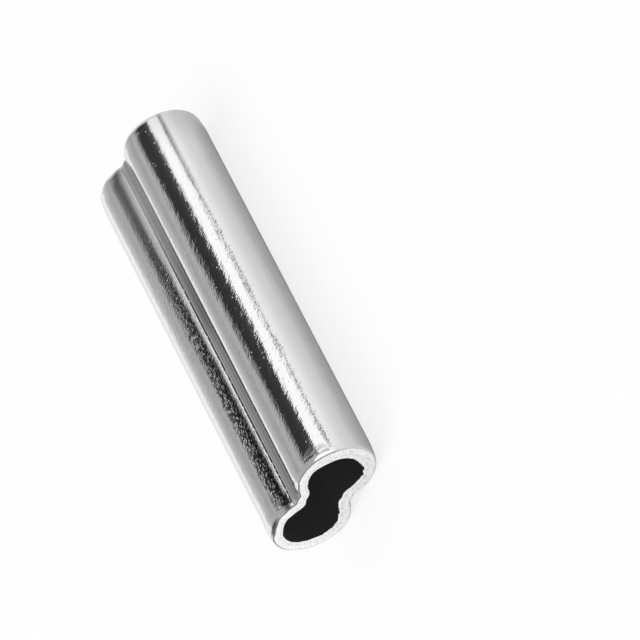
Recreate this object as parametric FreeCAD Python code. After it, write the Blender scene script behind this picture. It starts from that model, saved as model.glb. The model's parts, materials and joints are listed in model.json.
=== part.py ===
import FreeCAD, Part
import math
import os

# Wire rope ferrule: a short tube of figure-eight section, made as one piece.
# A rope goes through one lobe, round its eye and back through the other, and the tube is then pressed on it.
# Sizes are millimetres. X runs along the bores, Y from lobe to lobe and Z up. The origin is the tube's middle.

# Driving dimensions
ROPE_DIAMETER = 3.0
ROPE_CLEARANCE = 0.3    # room round the rope in its lobe, on the radius
BORE_SPACING = 3.86     # between the axes of the two lobes
WALL = 0.8
CREASE_RADIUS = 0.75    # outside, in the valley between the lobes
LENGTH = 27.4
RIM_RADIUS = 0.25       # rounding of the outer edge at both ends

# Worked out from them
BORE_RADIUS = ROPE_DIAMETER / 2 + ROPE_CLEARANCE
LOBE_RADIUS = BORE_RADIUS + WALL
LOBE_OFFSET = BORE_SPACING / 2
CENTRE_DISTANCE = LOBE_RADIUS + CREASE_RADIUS
CREASE_HEIGHT = math.sqrt(CENTRE_DISTANCE**2 - LOBE_OFFSET**2)

FLAT = 1e-6             # an edge this thin along X lies in an end plane


def at_end(y, z):
    """Point of the section in the end plane that the tube is drawn out from."""
    return FreeCAD.Vector(-LENGTH / 2, y, z)


def arc(start, middle, end):
    return Part.Arc(at_end(*start), at_end(*middle), at_end(*end)).toShape()


def figure_eight(depth):
    """Closed outline at a depth under the outer surface: two lobe arcs and two crease arcs, all tangent.

    Every depth shares the same four arc centres, so the wall between two outlines is even all round.
    """
    lobe = LOBE_RADIUS - depth
    crease = CREASE_RADIUS + depth
    side = LOBE_OFFSET + lobe
    valley = CREASE_HEIGHT - crease
    join_y = LOBE_OFFSET * crease / CENTRE_DISTANCE
    join_z = CREASE_HEIGHT * lobe / CENTRE_DISTANCE
    return Part.Wire([
        arc((join_y, -join_z), (side, 0), (join_y, join_z)),
        arc((join_y, join_z), (0, valley), (-join_y, join_z)),
        arc((-join_y, join_z), (-side, 0), (-join_y, -join_z)),
        arc((-join_y, -join_z), (0, -valley), (join_y, -join_z)),
    ])


def drawn_out(outline):
    """Solid of the outline's section over the whole length."""
    return Part.Face(outline).extrude(FreeCAD.Vector(LENGTH, 0, 0))


def sleeve():
    """Outer form with its end edges rounded, less the double bore, whose edges stay sharp."""
    body = drawn_out(figure_eight(0))
    end_edges = [edge for edge in body.Edges if edge.BoundBox.XLength < FLAT]
    rounded = body.makeFillet(RIM_RADIUS, end_edges)
    return rounded.cut(drawn_out(figure_eight(WALL)))


os.makedirs("parts", exist_ok=True)
sleeve().exportStep("parts/sleeve.step")
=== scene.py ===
import json
import math

import bpy
from mathutils import Matrix, Vector, noise


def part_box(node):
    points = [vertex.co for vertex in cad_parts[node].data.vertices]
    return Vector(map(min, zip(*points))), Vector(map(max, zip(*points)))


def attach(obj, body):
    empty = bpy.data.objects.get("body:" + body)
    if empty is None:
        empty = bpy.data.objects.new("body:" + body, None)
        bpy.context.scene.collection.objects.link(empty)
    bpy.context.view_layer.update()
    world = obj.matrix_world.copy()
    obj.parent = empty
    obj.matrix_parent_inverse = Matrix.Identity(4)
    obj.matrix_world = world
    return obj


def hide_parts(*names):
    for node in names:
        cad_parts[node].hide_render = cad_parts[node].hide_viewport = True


# Wire rope ferrule: one plated tube of figure-eight section, lying on a pale floor.
# Everything is in metres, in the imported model's frame: X along the bores, Y from lobe to lobe, Z up.

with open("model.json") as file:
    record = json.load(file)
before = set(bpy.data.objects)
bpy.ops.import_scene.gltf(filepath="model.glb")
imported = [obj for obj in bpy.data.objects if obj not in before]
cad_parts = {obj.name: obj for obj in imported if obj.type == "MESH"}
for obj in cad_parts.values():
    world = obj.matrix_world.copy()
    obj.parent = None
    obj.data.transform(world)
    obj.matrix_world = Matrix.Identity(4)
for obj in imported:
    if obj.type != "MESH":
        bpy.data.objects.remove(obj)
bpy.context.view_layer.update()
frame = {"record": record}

# Sizes read from the frame
NODE = "sleeve"
LOW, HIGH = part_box(NODE)
BORES = [mount for mount in frame["record"]["mounts"] if mount["kind"] == "clamp"]
BORE_RADIUS = BORES[0]["dims"]["r_mm"] / 1000
LOBE_OFFSET = abs(BORES[0]["pos_m"][1])
END = HIGH.x
LOBE_RADIUS = HIGH.y - LOBE_OFFSET
WALL = LOBE_RADIUS - BORE_RADIUS
FLOOR_HEIGHT = LOW.z

# Section, where the photograph shows more than the frame holds
SHOULDERS = [               # each lobe turns tighter towards the valley: radius and the angle it goes on to
    (0.0015, math.radians(110)),
    (0.0022, math.radians(136.2)),
]
SHOULDER_START = math.radians(98)   # the lobe's own radius ends here
CREASE_RADIUS = 0.00025     # hollow edge on both sides of the valley's bottom
VALLEY_CROWN = math.radians(10)     # the valley's bottom is a low crown: its lean beside the hollow edges
VALLEY_RISE = 0.00012       # the valley's bottom rises this much to both ends
VALLEY_RISE_LENGTH = 0.0012
VALLEY_RISE_WIDTH = (0.0003, 0.0012)        # distance from the middle plane where the rise fades out
COLLAR_RISE = 0.00007       # low swelling of the far lobe's outer side just before the mouth
COLLAR_SIDE = (-0.0036, -0.0030)            # Y where it fades out
COLLAR_LENGTH = (0.0006, 0.0016)            # distances from the mouth between which it fades out

# Ends of the tube
FLARE_LENGTH = 0.0008       # the skin starts to lean this far before the rolled edge
FLARE_LEAN = math.radians(8)
ROLL_LENGTH = 0.00038       # rounding of the outer edge, along the tube
ROLL_DEPTH = 0.00008        # rounding of the outer edge, into the wall
ROLL_TURN = math.radians(52)
BEVEL_DEPTH = 0.00005       # narrow bevel between the rounding and the cut face
BEVEL_LEAN = math.radians(64)
BEVEL_LENGTH = BEVEL_DEPTH / math.tan(BEVEL_LEAN)
FLARE_START = END - BEVEL_LENGTH - ROLL_LENGTH - FLARE_LENGTH
CORNER_EXTRA = 0.0001       # rounding and bevel go this much deeper on the far lobe's upper outer side
CORNER_SIDE = (-0.0035, -0.0029, -0.0021, -0.0013)      # Y where that side fades in and out
NOTCH_EXTRA = 0.00006       # and this much deeper in the upper notch
NOTCH_WIDTH = (0.0008, 0.0016)              # distance from the middle plane where the notch fades out
EXTRA_IN_ROLL = 0.4         # share of the extra depth that the rounding takes, with the rest in the bevel
INNER_EDGE = 0.00006        # rounding of the bore's edge
LIP_IN_FACE = 0.8           # share of the bore edge's push that the cut face takes
LIP_REACH = 0.00028         # how far the bore's edge is pushed inwards on the near lobe's outer side
LIP_SIDE = (0.0022, 0.0034)                 # Y over which that sets in
WAIST_REACH = 0.00012       # how far it is pushed inwards in the upper waist
WAIST_MIDDLE = -0.0008
WAIST_WIDTH = (0.0003, 0.0009)              # distance from there where that fades out
WAIST_HEIGHT = (0.0008, 0.0011)             # height where it sets in
BURR_REACH = 0.00012        # how far the ragged burr reaches into the hole on the lower side
BURR_DEPTH = 0.0003         # how far the burr goes down the bore
BURR_GRAIN = 0.00038        # width of one lump of it
BURR_PLANE = 7.0            # the two ends take their lumps from noise planes this far from zero
BURR_MIDDLE, BURR_SWING = 0.5, 0.8          # its mean height and how far the noise lifts or lowers it
BURR_ROUGHNESS, BURR_LACUNARITY, BURR_OCTAVES = 0.7, 2.1, 2
BURR_LOWER = (-0.0006, 0.0012)              # depth under the middle where the burr fades in
BURR_LOSS = 0.75            # share of it that is missing on the near lobe's outer side
BURR_LOSS_SIDE = (0.0022, 0.003)            # Y over which that sets in

UPPER_SIDE = (0.0, 0.001)   # height where a place comes to count as the section's upper side

# Mesh density
LOBE_STEPS = 62
SHOULDER_STEPS = 8
CREASE_STEPS = 9
VALLEY_STEPS = 4
SKIN_ROWS = 100
FLARE_ROWS = 5
ROLL_ROWS = 12
BEVEL_ROWS = 4
FACE_ROWS = 9
EDGE_ROWS = 5
LIP_ROWS = 7
BORE_ROWS = 20

# Camera: the photograph's view, rolled because its up isn't the floor's
CAMERA_AZIMUTH = math.radians(137.425)
CAMERA_ELEVATION = math.radians(31.89)
CAMERA_ROLL = math.radians(91.79)
CAMERA_DISTANCE = 0.4471
CAMERA_LENS = 435.1
CAMERA_SENSOR = 36.0
CAMERA_NEAREST = CAMERA_DISTANCE / 10
CAMERA_FARTHEST = CAMERA_DISTANCE * 20
PICTURE_CENTRE = Vector((0.00609, 0.00704, -0.00005))


def smooth(value, low, high):
    """0 below low, 1 above high, with a soft change between them."""
    share = min(1.0, max(0.0, (value - low) / (high - low)))
    return share * share * (3 - 2 * share)


def under(value, low, high):
    """1 below low, 0 above high."""
    return 1.0 - smooth(value, low, high)


def band(value, start, full, fading, gone):
    """1 between full and fading, 0 before start and after gone."""
    return smooth(value, start, full) * under(value, fading, gone)


def quarter_outline():
    """Outer outline from the lobe's side to the middle of the upper valley, as (place, normal) pairs."""
    points = []

    def turn(centre, radius, first, last, steps, inward=1):
        for step in range(steps):
            angle = first + (last - first) * step / steps
            normal = (math.cos(angle), math.sin(angle))
            points.append(((centre[0] + inward * radius * normal[0],
                            centre[1] + inward * radius * normal[1]), normal))

    def moved(centre, angle, distance):
        return (centre[0] + distance * math.cos(angle), centre[1] + distance * math.sin(angle))

    centre, radius, start = (LOBE_OFFSET, 0.0), LOBE_RADIUS, SHOULDER_START
    turn(centre, radius, 0.0, start, LOBE_STEPS)
    for tighter, end in SHOULDERS:
        centre = moved(centre, start, radius - tighter)
        radius = tighter
        turn(centre, radius, start, end, SHOULDER_STEPS)
        start = end
    crease = moved(centre, start, radius + CREASE_RADIUS)
    side = math.pi / 2 - VALLEY_CROWN
    turn(crease, CREASE_RADIUS, start, side, CREASE_STEPS, -1)
    foot = moved(crease, side, -CREASE_RADIUS)
    crown_radius = foot[0] / math.cos(side)
    crown = (0.0, foot[1] - crown_radius * math.sin(side))
    turn(crown, crown_radius, side, math.pi / 2, VALLEY_STEPS)
    points.append(((0.0, crown[1] + crown_radius), (0.0, 1.0)))
    return points


def section_points():
    """Whole outer outline with outward normals, round from the middle of the lower valley by the +Y lobe.

    A point at a depth under the surface lies that far back along its normal, at every depth.
    """
    quarter = quarter_outline()
    upper_near = quarter
    lower_near = [((y, -z), (ny, -nz)) for (y, z), (ny, nz) in reversed(quarter[1:])]
    near = lower_near + upper_near
    far = [((-y, -z), (-ny, -nz)) for (y, z), (ny, nz) in near[1:-1]]
    return near + far


def upper(place):
    """1 on the section's upper side, 0 on the lower one."""
    return smooth(place[1], *UPPER_SIDE)


def burr(place, end):
    """Height of the ragged burr at a place on the bore's edge, from 0 to 1: most on the lower side."""
    spot = Vector((place[0] / BURR_GRAIN, place[1] / BURR_GRAIN, BURR_PLANE * end))
    lump = BURR_MIDDLE + BURR_SWING * noise.fractal(spot, BURR_ROUGHNESS, BURR_LACUNARITY, BURR_OCTAVES)
    side = 1.0 - BURR_LOSS * smooth(place[0], *BURR_LOSS_SIDE)
    return max(0.0, lump) * side * smooth(-place[1], *BURR_LOWER)


def edge_push(place, end):
    """How far the bore's edge stands into the hole at a place."""
    outer_side = smooth(place[0], *LIP_SIDE)
    upper_waist = smooth(place[1], *WAIST_HEIGHT) * under(abs(place[0] - WAIST_MIDDLE), *WAIST_WIDTH)
    return LIP_REACH * outer_side + WAIST_REACH * upper_waist + BURR_REACH * burr(place, end)


def outer_corner(place):
    """1 on the far lobe's upper outer side, 0 elsewhere."""
    return band(place[0], *CORNER_SIDE) * upper(place)


def roll_extra(place):
    """How much deeper the rounding and the bevel go at a place."""
    notch = under(abs(place[0]), *NOTCH_WIDTH) * upper(place)
    return CORNER_EXTRA * outer_corner(place) + NOTCH_EXTRA * notch


def swelling(place, x):
    """How far the section swells: in the valleys to both ends, and on the far lobe's outer side by the mouth."""
    valley = under(abs(place[0]), *VALLEY_RISE_WIDTH) * smooth(abs(x), END - VALLEY_RISE_LENGTH, END)
    collar = under(place[0], *COLLAR_SIDE) * upper(place) * under(END - x, *COLLAR_LENGTH)
    return VALLEY_RISE * valley + COLLAR_RISE * collar


class Row:
    """One ring of the closed surface."""

    def __init__(self, x, depth, zone, lip=0.0, roll=0.0, lean=0.0):
        self.x = x
        self.depth = depth      # under the outer surface
        self.zone = zone
        self.lip = lip          # share of the edge's push that the row takes
        self.roll = roll        # share of the extra depth that the row takes
        self.lean = lean        # how far the skin has turned to the end, in radians


def end_rows(end):
    """Rows of one end: flare, rolled edge, cut face, bore's edge and lip."""
    rows = []
    flare_drop = FLARE_LENGTH * math.tan(FLARE_LEAN) / 2
    for step in range(1, FLARE_ROWS + 1):
        share = step / FLARE_ROWS
        rows.append(Row(end * (FLARE_START + FLARE_LENGTH * share), flare_drop * share**2, "skin",
                        lean=FLARE_LEAN * share))
    full = ROLL_LENGTH / math.sin(ROLL_TURN)
    deep = ROLL_LENGTH * math.tan(ROLL_TURN / 2)
    for step in range(1, ROLL_ROWS + 1):
        turned = ROLL_TURN * step / ROLL_ROWS
        x = END - BEVEL_LENGTH - ROLL_LENGTH + full * math.sin(turned)
        drop = full * (1 - math.cos(turned)) / deep
        rows.append(Row(end * x, flare_drop + ROLL_DEPTH * drop, "skin",
                        roll=EXTRA_IN_ROLL * drop, lean=turned))
    for step in range(1, BEVEL_ROWS + 1):
        share = step / BEVEL_ROWS
        x = END - BEVEL_LENGTH * (1 - share)
        rows.append(Row(end * x, flare_drop + ROLL_DEPTH + BEVEL_DEPTH * share, "skin",
                        roll=EXTRA_IN_ROLL + (1 - EXTRA_IN_ROLL) * share, lean=BEVEL_LEAN))
    first = flare_drop + ROLL_DEPTH + BEVEL_DEPTH
    for step in range(1, FACE_ROWS + 1):
        share = step / FACE_ROWS
        rows.append(Row(end * END, first + (WALL - INNER_EDGE - first) * share, "face",
                        lip=LIP_IN_FACE * share**3, roll=1 - share, lean=math.pi / 2))
    for step in range(1, EDGE_ROWS + 1):
        turned = math.pi / 2 * step / EDGE_ROWS
        rows.append(Row(end * (END - INNER_EDGE * (1 - math.cos(turned))),
                        WALL - INNER_EDGE * (1 - math.sin(turned)), "face",
                        lip=LIP_IN_FACE + (1 - LIP_IN_FACE) * math.sin(turned), lean=math.pi / 2))
    for step in range(1, LIP_ROWS + 1):
        share = step / LIP_ROWS
        rows.append(Row(end * (END - INNER_EDGE - BURR_DEPTH * share), WALL, "bore", lip=(1 - share)**2))
    return rows


def ring_rows():
    """Rows of the closed surface: along the skin, round the mouth, down the bore and round the far end."""
    rows = [Row(FLARE_START * (2 * step / SKIN_ROWS - 1), 0.0, "skin") for step in range(SKIN_ROWS + 1)]
    rows += end_rows(1)
    start = END - INNER_EDGE - BURR_DEPTH
    rows += [Row(start * (1 - 2 * step / BORE_ROWS), WALL, "bore") for step in range(1, BORE_ROWS)]
    rows += reversed(end_rows(-1))
    return rows


def running_lengths(places):
    """Distance run to each place round a closed chain of places, with the way back to the first as the last."""
    chain = places + places[:1]
    lengths = [0.0]
    for before, after in zip(chain, chain[1:]):
        lengths.append(lengths[-1] + math.dist(before, after))
    return lengths


def build_sleeve():
    """The whole ferrule as one closed mesh, with a map in metres: U round the tube, V along the row path."""
    outline = section_points()
    rows = ring_rows()
    count = len(outline)
    around = running_lengths([place for place, _ in outline])
    along = running_lengths([(row.x, row.depth) for row in rows])
    vertices, relief, scratched, dullness, painted_shade = [], [], [], [], []
    for row in rows:
        end = 1 if row.x > 0 else -1
        for place, normal in outline:
            edge = (place[0] - WALL * normal[0], place[1] - WALL * normal[1])
            depth = row.depth - swelling(place, row.x)
            if row.lip:
                depth += row.lip * edge_push(edge, end)
            if row.roll:
                depth += row.roll * roll_extra(place)
            vertices.append((row.x, place[0] - depth * normal[0], place[1] - depth * normal[1]))
            relief.append(relief_at(row, place, normal))
            scratched.append(scratched_at(row, place))
            dullness.append(dullness_at(row, place))
            painted_shade.append(painted_shade_at(row, place, normal))
    faces, zones, corners = [], [], []
    for row in range(len(rows)):
        following = (row + 1) % len(rows)
        for point in range(count):
            beside = (point + 1) % count
            faces.append((row * count + point, row * count + beside,
                          following * count + beside, following * count + point))
            corners += [(around[point], along[row]), (around[point + 1], along[row]),
                        (around[point + 1], along[row + 1]), (around[point], along[row + 1])]
            zones.append(zone_between(rows[row].zone, rows[following].zone))
    mesh = bpy.data.meshes.new("ferrule_sleeve")
    mesh.from_pydata(vertices, [], faces)
    mesh.update()
    skin_map = mesh.uv_layers.new(name="skin_map")
    for corner, spot in zip(skin_map.data, corners):
        corner.uv = spot
    # one of these layers holds the painted shade that darkens the colour
    layers = {"relief": relief, "scratched": scratched, "dullness": dullness, "painted_shade": painted_shade}
    for name, values in layers.items():
        layer = mesh.attributes.new(name=name, type="FLOAT", domain="POINT")
        layer.data.foreach_set("value", values)
    piece = bpy.data.objects.new("ferrule_sleeve", mesh)
    bpy.context.scene.collection.objects.link(piece)
    for material in (plated_skin(), cut_face(), bore_wall()):
        mesh.materials.append(material)
    index = {"skin": 0, "face": 1, "bore": 2}
    for polygon, zone in zip(mesh.polygons, zones):
        polygon.use_smooth = True
        polygon.material_index = index[zone]
    return piece


def zone_between(first, second):
    """A strip between two rows takes the zone nearer to the bore."""
    order = ("skin", "face", "bore")
    return max(first, second, key=order.index)


# Strength of the skin's grain: shares of its full height, and the places where it changes
GRAIN_LEAST = 0.06          # in the valleys
GRAIN_NEAR_SIDE = (0.0010, 0.0019)          # Y where it sets in on the near lobe
GRAIN_FAR_SIDE = (0.00045, 0.0008)          # -Y where it sets in on the far lobe
GRAIN_FAR_INNER = 1.5       # on the far lobe's inner side
GRAIN_FAR_LOSS = 1.1        # from there to its outer side
GRAIN_FAR_TURN = (-0.1, 0.4)                # Y share of the normal, outwards, over which that loss sets in
GRAIN_FAR_END = 0.35
GRAIN_FAR_END_ALONG = (-0.0135, -0.004)
GRAIN_MOUTH_LOSS = 0.25
GRAIN_MOUTH_ALONG = (0.002, 0.010)
GRAIN_ROLL_LOSS = 0.75      # on the rolled edge
GRAIN_ROLL_LEAN = (0.0, 0.3)


def relief_at(row, place, normal):
    """Strength of the skin's grain: full on the lobes' tops, little in the valleys and at the far end."""
    y = place[0]
    if y > 0:
        side = smooth(y, *GRAIN_NEAR_SIDE)
    else:
        strength = GRAIN_FAR_INNER - GRAIN_FAR_LOSS * smooth(-normal[0], *GRAIN_FAR_TURN)
        side = smooth(-y, *GRAIN_FAR_SIDE) * strength
    along = GRAIN_FAR_END + (1.0 - GRAIN_FAR_END) * smooth(row.x, *GRAIN_FAR_END_ALONG)
    along -= GRAIN_MOUTH_LOSS * smooth(row.x, *GRAIN_MOUTH_ALONG)
    rolled = 1.0 - GRAIN_ROLL_LOSS * smooth(row.lean, *GRAIN_ROLL_LEAN)
    return (GRAIN_LEAST + (1.0 - GRAIN_LEAST) * side) * along * rolled


# Dense scratches on the far lobe's inner side: Y where they fade in and out, and X where they grow
SCRATCHED_SIDE = (-0.0015, -0.0011, -0.0005, -0.0003)
SCRATCHED_ALONG = (-0.006, 0.004)


def scratched_at(row, place):
    """Share of the dense scratches: on the far lobe's inner side, more towards the mouth."""
    return band(place[0], *SCRATCHED_SIDE) * upper(place) * smooth(row.x, *SCRATCHED_ALONG)


# Painted shade on the skin: each place has the share of brightness it loses and where it begins and ends
CORNER_LOSS = 0.85          # painted shade: a dark line on the rolled edge of the far lobe's upper outer side
CORNER_LEAN = (0.4, 0.65)
FAR_END_LOSS = 0.14         # painted shade on the sides that face +Y, at the far end
FAR_END_ALONG = (0.0105, 0.0132)
FAR_END_TURN = (0.2, 0.5)
VALLEY_LEFT_LOSS = 0.04     # painted shade in the valley's bottom, left and right as seen from the mouth with +Z up
VALLEY_LEFT_SIDE = (-0.0004, -0.0003)
VALLEY_MIDDLE_MORE, VALLEY_MIDDLE_ALONG = 0.22, (-0.002, 0.001)
VALLEY_FAR_LESS, VALLEY_FAR_ALONG = 0.16, (0.002, 0.010)
VALLEY_RIGHT_LOSS = 0.36
VALLEY_RIGHT_SIDE = (-0.00017, -0.00007)
VALLEY_RIGHT_LESS, VALLEY_RIGHT_ALONG = 0.12, (0.0, 0.008)
VALLEY_BORDER, VALLEY_BORDER_MORE = 0.0003, 0.0003      # Y of its near border, and more at the mouth
VALLEY_BORDER_ALONG = (-0.010, 0.004)
VALLEY_BORDER_FADE = 0.0003
FLANK_LOSS, FLANK_MORE = 0.2, 0.6           # painted shade on the far lobe's flank beside the valley, and more at the mouth
FLANK_SIDE = (-0.001, -0.0007, -0.00054, -0.00048)
FLANK_ALONG = (-0.007, 0.004)
OUTER_LOSS = 0.16           # painted shade on the near lobe's outer side, low down
OUTER_TURN_DOWN = (-0.38, -0.12)
OUTER_TURN_OUT = (0.0, 0.3)
LINE_LOSS = 0.3             # painted reflection: a soft dark line beside the bright strip, at the far end
LINE_ANGLE = 28.5           # degrees from +Y over +Z
LINE_WIDTH = (1.0, 5.0)
LINE_ALONG = (0.004, 0.011)
BEVEL_LOSS, BEVEL_UPPER_MORE = 0.25, 0.5    # painted shade on the bevel, and more on the upper side
BEVEL_HEIGHT = (0.0004, 0.0012)
RING_LOSS = 0.12            # faint ring of painted shade on the cut face, between these shares of the bore edge's push
RING = (0.2, 0.3, 0.5, 0.6)


def painted_valley_shade(x, y):
    """How much painted shade darkens the valley's bottom: the right part more than the left, with a lighter far
    end.
    """
    border = VALLEY_BORDER + VALLEY_BORDER_MORE * smooth(x, *VALLEY_BORDER_ALONG)
    floor = under(y, border, border + VALLEY_BORDER_FADE)
    left = VALLEY_LEFT_LOSS + VALLEY_MIDDLE_MORE * smooth(-x, *VALLEY_MIDDLE_ALONG)
    left -= VALLEY_FAR_LESS * smooth(-x, *VALLEY_FAR_ALONG)
    right = VALLEY_RIGHT_LOSS - VALLEY_RIGHT_LESS * smooth(-x, *VALLEY_RIGHT_ALONG)
    return floor * (left * smooth(y, *VALLEY_LEFT_SIDE) + right * smooth(y, *VALLEY_RIGHT_SIDE))


def painted_shade_at(row, place, normal):
    """Share of the metal's brightness left by painted shade: less in the valley, on the flank beside it and
    along the edges.
    """
    y, z = place
    if row.zone == "face" or row.zone == "bore":
        return 1.0 - RING_LOSS * band(row.lip, *RING)
    if row.lean >= BEVEL_LEAN:
        bevel = BEVEL_LOSS + BEVEL_UPPER_MORE * smooth(z, *BEVEL_HEIGHT)
        return 1.0 - max(CORNER_LOSS * outer_corner(place), bevel)
    turned = math.degrees(math.atan2(normal[1], normal[0]))
    losses = (
        painted_valley_shade(row.x, y),
        CORNER_LOSS * outer_corner(place) * smooth(row.lean, *CORNER_LEAN),
        FAR_END_LOSS * smooth(-row.x, *FAR_END_ALONG) * smooth(normal[0], *FAR_END_TURN),
        band(y, *FLANK_SIDE) * upper(place) * (FLANK_LOSS + FLANK_MORE * smooth(row.x, *FLANK_ALONG)),
        OUTER_LOSS * smooth(-normal[1], *OUTER_TURN_DOWN) * smooth(normal[0], *OUTER_TURN_OUT),
        LINE_LOSS * under(abs(turned - LINE_ANGLE), *LINE_WIDTH) * smooth(-row.x, *LINE_ALONG),
    )
    left = 1.0
    for loss in losses:
        left *= 1.0 - loss
    return left


# Extra roughness, and the places where it sets in
DULL_SIDE_MORE = 0.14       # the far lobe's inner side, at the far end
DULL_SIDE = (-0.0024, -0.0014, 0.0, 0.0002)
DULL_SIDE_ALONG = (-0.006, 0.009)
DULL_VALLEY_MORE = 0.16     # the upper valley, at the far end
DULL_VALLEY_WIDTH = (0.0005, 0.0009)
DULL_VALLEY_ALONG = (-0.001, 0.010)
DULL_END_MORE = 0.08        # the whole far end
DULL_END_ALONG = (0.004, 0.012)


def dullness_at(row, place):
    """Extra roughness: most at the far end, on the far lobe's inner side and in the valley."""
    side = band(place[0], *DULL_SIDE) * upper(place) * smooth(-row.x, *DULL_SIDE_ALONG)
    valley = under(abs(place[0]), *DULL_VALLEY_WIDTH) * upper(place) * smooth(-row.x, *DULL_VALLEY_ALONG)
    return DULL_SIDE_MORE * side + DULL_VALLEY_MORE * valley + DULL_END_MORE * smooth(-row.x, *DULL_END_ALONG)


def new_material(name):
    """Empty node material and its tree."""
    material = bpy.data.materials.new(name)
    material.use_nodes = True
    tree = material.node_tree
    tree.nodes.clear()
    return material, tree


def put(tree, entry, value):
    """Give an input socket a constant or another node's output."""
    if isinstance(value, bpy.types.NodeSocket):
        tree.links.new(value, entry)
    else:
        entry.default_value = value


def calc(tree, operation, *values):
    """Result of one sum on sockets or plain numbers."""
    node = tree.nodes.new("ShaderNodeMath")
    node.operation = operation
    for entry, value in zip(node.inputs, values):
        put(tree, entry, value)
    return node.outputs["Value"]


def fade(tree, value, low, high):
    """0 below low, 1 above high: the node form of smooth()."""
    node = tree.nodes.new("ShaderNodeMapRange")
    node.interpolation_type = "SMOOTHSTEP"
    put(tree, node.inputs["Value"], value)
    node.inputs["From Min"].default_value = low
    node.inputs["From Max"].default_value = high
    return node.outputs["Result"]


def blend(tree, share, first, second):
    """Plain number between two others."""
    node = tree.nodes.new("ShaderNodeMix")
    node.data_type = "FLOAT"
    put(tree, node.inputs[0], share)
    put(tree, node.inputs[2], first)
    put(tree, node.inputs[3], second)
    return node.outputs[0]


def stored(tree, name):
    """Value kept in one of the mesh's own layers."""
    node = tree.nodes.new("ShaderNodeAttribute")
    node.attribute_name = name
    return node.outputs["Fac"]


def skin_place(tree, across, length, slant=0.0):
    """Map coordinates counted in grains of a width across the tube and a length along it, with a lean."""
    spot = tree.nodes.new("ShaderNodeUVMap")
    spot.uv_map = "skin_map"
    mapping = tree.nodes.new("ShaderNodeMapping")
    mapping.vector_type = "TEXTURE"
    mapping.inputs["Rotation"].default_value = (0.0, 0.0, slant)
    mapping.inputs["Scale"].default_value = (across, length, 1.0)
    tree.links.new(spot.outputs["UV"], mapping.inputs["Vector"])
    return mapping.outputs["Vector"]


def grain(tree, across, length, height, slant=0.0, detail=0.0):
    """Noise height in metres."""
    node = tree.nodes.new("ShaderNodeTexNoise")
    node.noise_dimensions = "2D"
    node.inputs["Scale"].default_value = 1.0
    node.inputs["Detail"].default_value = detail
    tree.links.new(skin_place(tree, across, length, slant), node.inputs["Vector"])
    return calc(tree, "MULTIPLY", node.outputs["Fac"], height)


def pits(tree, spacing, radius, depth, kept):
    """Sparse round pits: cells of a spacing, of which a share is kept, each with a dent of a radius."""
    node = tree.nodes.new("ShaderNodeTexVoronoi")
    node.voronoi_dimensions = "2D"
    node.inputs["Scale"].default_value = 1.0
    tree.links.new(skin_place(tree, spacing, spacing), node.inputs["Vector"])
    chance = tree.nodes.new("ShaderNodeSeparateColor")
    tree.links.new(node.outputs["Color"], chance.inputs["Color"])
    chosen = calc(tree, "LESS_THAN", chance.outputs["Red"], kept)
    inside = fade(tree, node.outputs["Distance"], radius / spacing, 0.0)
    return calc(tree, "MULTIPLY", calc(tree, "MULTIPLY", inside, chosen), -depth)


def total(tree, parts):
    """Sum of several values."""
    whole = parts[0]
    for part in parts[1:]:
        whole = calc(tree, "ADD", whole, part)
    return whole


def metal(tree, colour, roughness, height, painted_shade=None):
    """Metal shader with a height field in metres as its relief, and painted shade on its colour if given."""
    shader = tree.nodes.new("ShaderNodeBsdfPrincipled")
    shader.inputs["Metallic"].default_value = 1.0
    put(tree, shader.inputs["Roughness"], roughness)
    if painted_shade is None:
        shader.inputs["Base Color"].default_value = (*colour, 1.0)
    else:
        # the base colour times the painted shade
        tint = tree.nodes.new("ShaderNodeCombineColor")
        for entry, value in zip(tint.inputs, colour):
            put(tree, entry, calc(tree, "MULTIPLY", painted_shade, value))
        tree.links.new(tint.outputs["Color"], shader.inputs["Base Color"])
    bump = tree.nodes.new("ShaderNodeBump")
    bump.inputs["Strength"].default_value = 1.0
    bump.inputs["Distance"].default_value = 1.0
    put(tree, bump.inputs["Height"], height)
    tree.links.new(bump.outputs["Normal"], shader.inputs["Normal"])
    output = tree.nodes.new("ShaderNodeOutputMaterial")
    tree.links.new(shader.outputs["BSDF"], output.inputs["Surface"])
    return shader


def glow(shader, level):
    """Let a shader give off a little white light of its own."""
    shader.inputs["Emission Color"].default_value = (1.0, 1.0, 1.0, 1.0)
    shader.inputs["Emission Strength"].default_value = level


# Materials. A grain is its width across the tube, its length along it and its height.
SKIN_COLOUR = (0.875, 0.875, 0.875)
SKIN_ROUGHNESS = 0.06
HAIR_SLANT = math.radians(-52)
HAIR = (0.00009, 0.00036, 0.000011)
PEEL = (0.00030, 0.00060, 0.000008)
DRAW_MARKS = (0.00022, 0.0028, 0.000005)
WAVES = (0.0012, 0.005, 0.000016)
DENT_SPACING, DENT_RADIUS, DENT_DEPTH = 0.0007, 0.00005, 0.000011
DENTS_KEPT = 0.4
SCRATCHES = (0.00010, 0.00034, 1.0)
SCRATCH_FROM, SCRATCH_TO = 0.60, 0.70       # noise values between which a scratch rises
SCRATCH_HEIGHT = 0.000016
FACE_COLOUR = (0.99, 0.99, 0.99)
FACE_ROUGHNESS = 0.22
FACE_GRAIN = (0.00012, 0.00012, 0.000018)
FACE_WAVES = (0.0005, 0.0005, 0.00005)
# Spots of painted shadow on the cut face, standing for the shadows of its burrs
FACE_SHADOW_SPOTS = (0.00016, 0.00022, 1.0)
SHADOW_SPOT_FROM, SHADOW_SPOT_TO = 0.50, 0.66             # noise values between which a spot of painted shadow sets in
SHADOW_SPOT_LOSS = 0.22
FACE_GLOW = 0.09            # stands for the light that the cut's fine grain scatters
# the bore's near-black colour is painted shade for its deep inside
BORE_SHADE_COLOUR = (0.03, 0.03, 0.03)
BORE_ROUGHNESS = 0.85
BORE_GRAIN = (0.00025, 0.001, 0.00001)
BORE_GLOW = 0.011           # stands for the light that comes round the bore many times


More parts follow.
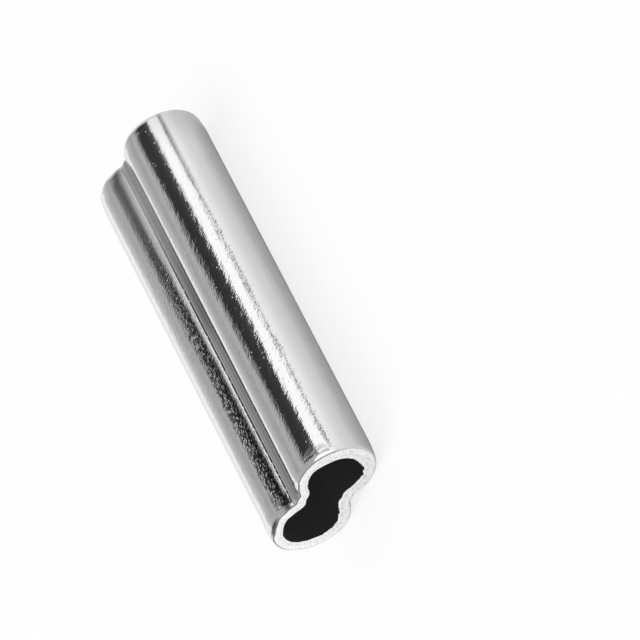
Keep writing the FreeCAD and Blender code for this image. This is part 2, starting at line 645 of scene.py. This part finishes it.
def plated_skin():
    """Bright nickel plating with leaning hairs, orange peel, a few dents, scratches, long low waves and painted
    shade.
    """
    material, tree = new_material("plated_skin")
    fine = total(tree, [
        grain(tree, *HAIR, HAIR_SLANT, 1.0),
        grain(tree, *PEEL, HAIR_SLANT / 2),
        grain(tree, *DRAW_MARKS),
    ])
    shaped = calc(tree, "MULTIPLY", fine, stored(tree, "relief"))
    dents = pits(tree, DENT_SPACING, DENT_RADIUS, DENT_DEPTH, DENTS_KEPT)
    raised = fade(tree, grain(tree, *SCRATCHES, HAIR_SLANT / 8, 1.0), SCRATCH_FROM, SCRATCH_TO)
    ridges = calc(tree, "MULTIPLY", raised, SCRATCH_HEIGHT)
    scratches = calc(tree, "MULTIPLY", ridges, stored(tree, "scratched"))
    height = total(tree, [shaped, dents, scratches, grain(tree, *WAVES)])
    roughness = calc(tree, "ADD", stored(tree, "dullness"), SKIN_ROUGHNESS)
    metal(tree, SKIN_COLOUR, roughness, height, stored(tree, "painted_shade"))
    return material


def cut_face():
    """The cut end under the same plating, a little rougher, with a faint ring and spots of painted shade and a
    little glow.
    """
    material, tree = new_material("cut_face")
    height = total(tree, [grain(tree, *FACE_GRAIN, detail=1.0), grain(tree, *FACE_WAVES)])
    shadow_spots = fade(tree, grain(tree, *FACE_SHADOW_SPOTS, detail=2.0), SHADOW_SPOT_FROM, SHADOW_SPOT_TO)
    spotted_shade = calc(tree, "SUBTRACT", stored(tree, "painted_shade"), calc(tree, "MULTIPLY", shadow_spots, SHADOW_SPOT_LOSS))
    shader = metal(tree, FACE_COLOUR, FACE_ROUGHNESS, height, spotted_shade)
    glow(shader, FACE_GLOW)
    return material


def bore_wall():
    """Near-black metal with a little glow: painted shade for the deep bore."""
    material, tree = new_material("bore_wall")
    shader = metal(tree, BORE_SHADE_COLOUR, BORE_ROUGHNESS, grain(tree, *BORE_GRAIN))
    glow(shader, BORE_GLOW)
    return material


# Sky that the metal's long sides mirror: strips that run along the tube. Each stop is an angle round X in
# degrees, from the horizon on the +Y side over the top to the horizon on the -Y side, with its brightness.
SKY_STRIPS = [
    (0.0, 0.89), (12.0, 0.95), (16.6, 0.87), (18.6, 0.14), (20.9, 0.14), (22.9, 0.95), (30.0, 1.08),
    (36.0, 1.1), (50.0, 1.08), (53.6, 1.05), (55.2, 0.08), (62.0, 0.055), (72.0, 0.035), (96.0, 0.032),
    (103.0, 0.33), (108.0, 0.45), (115.0, 0.49), (121.0, 0.43), (127.6, 0.34), (133.0, 0.40),
    (139.0, 0.46), (147.0, 0.50), (154.0, 0.54), (161.0, 0.64), (165.0, 0.78), (169.0, 0.98), (180.0, 1.0),
]
# Sky towards the mouth, which only the rolled edge mirrors: stops of height over the horizon and brightness.
MOUTH_SKY = [(0.0, 0.85), (0.2, 0.85), (0.26, 1.0), (0.40, 1.0), (0.46, 0.5), (1.0, 0.42)]
MOUTH_LAMP_TOWARDS = Vector((0.16, 0.70, 0.70)).normalized()
MOUTH_LAMP_EDGE = math.cos(math.radians(26))
MOUTH_LAMP_CORE = math.cos(math.radians(21))
MOUTH_LAMP_LEVEL = 1.2
FAR_END_LEVEL = 0.85
SIDES_FROM, SIDES_TO = -0.88, -0.78         # X share of the mirrored direction where the long strips begin
MOUTH_FROM, MOUTH_TO = -0.44, -0.32         # and where they give way to the mouth's own sky

WHITE_LEVEL = 0.70          # even light that reaches the floor from all over the sky
KEY_STRENGTH = 1.0
KEY_TOWARDS = Vector((0.25, -0.5, 0.83))
KEY_SPREAD = math.radians(50)
FLOOR_COLOUR = (0.9, 0.9, 0.9, 1.0)
BACKGROUND = 0.98
FLOOR_REACH = 3.0
FLOOR_GLOW = 1.03           # with the lit part it makes the same white as the background
FLOOR_OWN_WHITE = 0.78      # share of the camera's floor that is plain background and takes no shadow


def strip_ramp(tree, value, stops):
    """Brightness read off a list of stops."""
    node = tree.nodes.new("ShaderNodeValToRGB")
    node.color_ramp.interpolation = "LINEAR"
    elements = node.color_ramp.elements
    while len(elements) < len(stops):
        elements.new(0.5)
    for element, (position, level) in zip(elements, stops):
        element.position = position
        element.color = (level, level, level, 1.0)
    put(tree, node.inputs["Fac"], value)
    level = tree.nodes.new("ShaderNodeSeparateColor")
    tree.links.new(node.outputs["Color"], level.inputs["Color"])
    return level.outputs["Red"]


def sky():
    """World: even light for the floor, strips of light and dark for the metal, and plain white behind."""
    world = bpy.data.worlds.new("studio")
    bpy.context.scene.world = world
    world.use_nodes = True
    tree = world.node_tree
    tree.nodes.clear()
    place = tree.nodes.new("ShaderNodeTexCoord")
    axes = tree.nodes.new("ShaderNodeSeparateXYZ")
    tree.links.new(place.outputs["Generated"], axes.inputs["Vector"])
    x, y, z = axes.outputs
    turned = calc(tree, "DIVIDE", calc(tree, "ARCTAN2", z, y), math.pi)
    sides = strip_ramp(tree, turned, [(degrees / 180, level) for degrees, level in SKY_STRIPS])
    shares = [calc(tree, "MULTIPLY", axis, share) for axis, share in zip((x, y, z), MOUTH_LAMP_TOWARDS)]
    towards = total(tree, shares)
    lamp = fade(tree, towards, MOUTH_LAMP_EDGE, MOUTH_LAMP_CORE)
    mouth = blend(tree, lamp, strip_ramp(tree, z, MOUTH_SKY), MOUTH_LAMP_LEVEL)
    lengthwise = blend(tree, fade(tree, x, SIDES_FROM, SIDES_TO), FAR_END_LEVEL, sides)
    mirrored = blend(tree, fade(tree, x, MOUTH_FROM, MOUTH_TO), lengthwise, mouth)
    rays = tree.nodes.new("ShaderNodeLightPath")
    lit = blend(tree, rays.outputs["Is Glossy Ray"], WHITE_LEVEL, mirrored)
    shown = blend(tree, rays.outputs["Is Camera Ray"], lit, BACKGROUND)
    background = tree.nodes.new("ShaderNodeBackground")
    background.inputs["Color"].default_value = (1.0, 1.0, 1.0, 1.0)
    put(tree, background.inputs["Strength"], shown)
    output = tree.nodes.new("ShaderNodeOutputWorld")
    tree.links.new(background.outputs["Background"], output.inputs["Surface"])


def hang_key_light():
    """Wide soft light from above the far lobe's side. The metal doesn't mirror it: its sky has the lights."""
    data = bpy.data.lights.new("key", "SUN")
    data.energy = KEY_STRENGTH
    data.angle = KEY_SPREAD
    key = bpy.data.objects.new("key", data)
    key.rotation_mode = "QUATERNION"
    key.rotation_quaternion = KEY_TOWARDS.to_track_quat("Z", "Y")
    key.visible_glossy = False
    bpy.context.scene.collection.objects.link(key)


def lay_floor():
    """Pale paper that takes a soft shadow."""
    mesh = bpy.data.meshes.new("floor")
    reach = FLOOR_REACH
    corners = [(-reach, -reach), (reach, -reach), (reach, reach), (-reach, reach)]
    mesh.from_pydata([(x, y, FLOOR_HEIGHT) for x, y in corners], [], [(0, 1, 2, 3)])
    floor = bpy.data.objects.new("floor", mesh)
    bpy.context.scene.collection.objects.link(floor)
    material, tree = new_material("pale_floor")
    paper = tree.nodes.new("ShaderNodeBsdfDiffuse")
    paper.inputs["Color"].default_value = FLOOR_COLOUR
    plain = tree.nodes.new("ShaderNodeEmission")
    plain.inputs["Color"].default_value = (1.0, 1.0, 1.0, 1.0)
    plain.inputs["Strength"].default_value = FLOOR_GLOW
    rays = tree.nodes.new("ShaderNodeLightPath")
    both = tree.nodes.new("ShaderNodeMixShader")
    put(tree, both.inputs["Fac"], calc(tree, "MULTIPLY", rays.outputs["Is Camera Ray"], FLOOR_OWN_WHITE))
    tree.links.new(paper.outputs["BSDF"], both.inputs[1])
    tree.links.new(plain.outputs["Emission"], both.inputs[2])
    output = tree.nodes.new("ShaderNodeOutputMaterial")
    tree.links.new(both.outputs["Shader"], output.inputs["Surface"])
    mesh.materials.append(material)


def place_camera():
    """Camera at the photograph's place, looking at the middle of its picture."""
    azimuth, elevation, roll = CAMERA_AZIMUTH, CAMERA_ELEVATION, CAMERA_ROLL
    back = Vector((math.sin(azimuth) * math.cos(elevation),
                   -math.cos(azimuth) * math.cos(elevation), math.sin(elevation)))
    level_right = Vector((math.cos(azimuth), math.sin(azimuth), 0))
    level_up = back.cross(level_right)
    up = level_up * math.cos(roll) + level_right * math.sin(roll)
    right = up.cross(back)
    data = bpy.data.cameras.new("camera")
    data.lens = CAMERA_LENS
    data.sensor_width = CAMERA_SENSOR
    data.clip_start = CAMERA_NEAREST
    data.clip_end = CAMERA_FARTHEST
    camera = bpy.data.objects.new("camera", data)
    bpy.context.scene.collection.objects.link(camera)
    axes = Matrix((right, up, back)).transposed()
    camera.matrix_world = Matrix.Translation(PICTURE_CENTRE + back * CAMERA_DISTANCE) @ axes.to_4x4()
    bpy.context.scene.camera = camera


sleeve = build_sleeve()
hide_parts(NODE)
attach(sleeve, "root")
lay_floor()
sky()
hang_key_light()
place_camera()
bpy.context.scene.view_settings.view_transform = "Standard"
